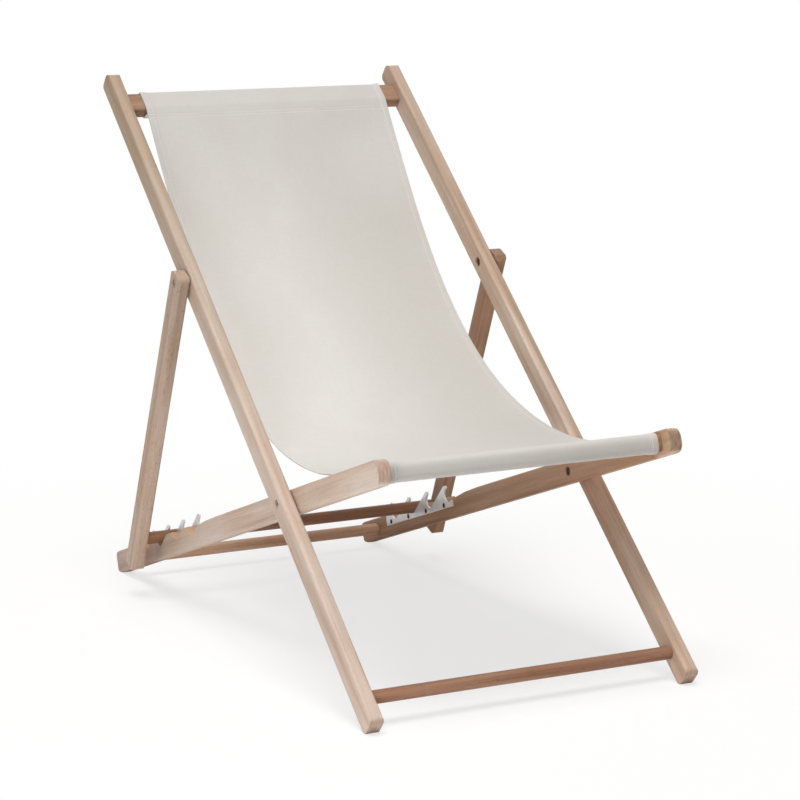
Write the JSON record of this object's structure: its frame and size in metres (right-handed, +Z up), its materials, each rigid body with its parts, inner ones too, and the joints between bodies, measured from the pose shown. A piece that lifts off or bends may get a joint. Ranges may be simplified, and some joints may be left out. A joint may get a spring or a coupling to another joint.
{
  "type": "folding deck chair",
  "caption": "Folding wooden deck chair: crossed main and seat frames, a prop frame resting in hook-toothed racks, and a sagging canvas sling between the top and front bars.",
  "frame": {"origin": "centre of the chair's footprint on the floor, at rest in the third notch", "axes": "+X across the chair to the right seen from its front, -Y towards the front, +Z up"},
  "size_m": [0.58, 1.036, 0.8554],
  "materials": {
    "rail_wood": "oiled, satin",
    "bar_wood": "oiled, satin",
    "canvas": "plain woven, matt",
    "rack_metal": "pale grey, satin",
    "bolt_steel": "zinc plated",
    "screw_steel": "blackened"
  },
  "bodies": {
    "main": {"main_rail_left": "rail_wood", "main_rail_right": "rail_wood", "top_bar": "bar_wood", "foot_rung": "bar_wood", "main_pins": "bolt_steel", "seat_bolts": "bolt_steel", "seat_nuts": "bolt_steel", "seat_washers": "bolt_steel", "prop_nuts": "bolt_steel", "prop_washers": "bolt_steel", "prop_bolts": "bolt_steel"},
    "seat": {"seat_rail_left": "rail_wood", "seat_rail_right": "rail_wood", "front_bar": "bar_wood", "rear_rung": "bar_wood", "seat_pins": "bolt_steel", "rack_left": "rack_metal", "rack_right": "rack_metal", "rack_screws": "screw_steel", "sling": "canvas"},
    "prop": {"prop_leg_left": "rail_wood", "prop_leg_right": "rail_wood", "prop_rung": "bar_wood", "prop_pins": "bolt_steel"}
  },
  "joints": [
    {"name": "frame_fold", "type": "hinge", "parent": "seat", "child": "main", "pos_m": [0, -0.20966, 0.26643], "axis": [1, 0, 0], "range_deg": [0, 114], "deforming": ["sling"]},
    {"name": "prop_swing", "type": "hinge", "parent": "main", "child": "prop", "pos_m": [0, 0.12262, 0.55179], "axis": [1, 0, 0], "range_deg": [-67.26, 0]}
  ],
  "couplings": [
    {"joint": "prop_swing", "follows": "frame_fold", "ratio": -0.59}
  ]
}
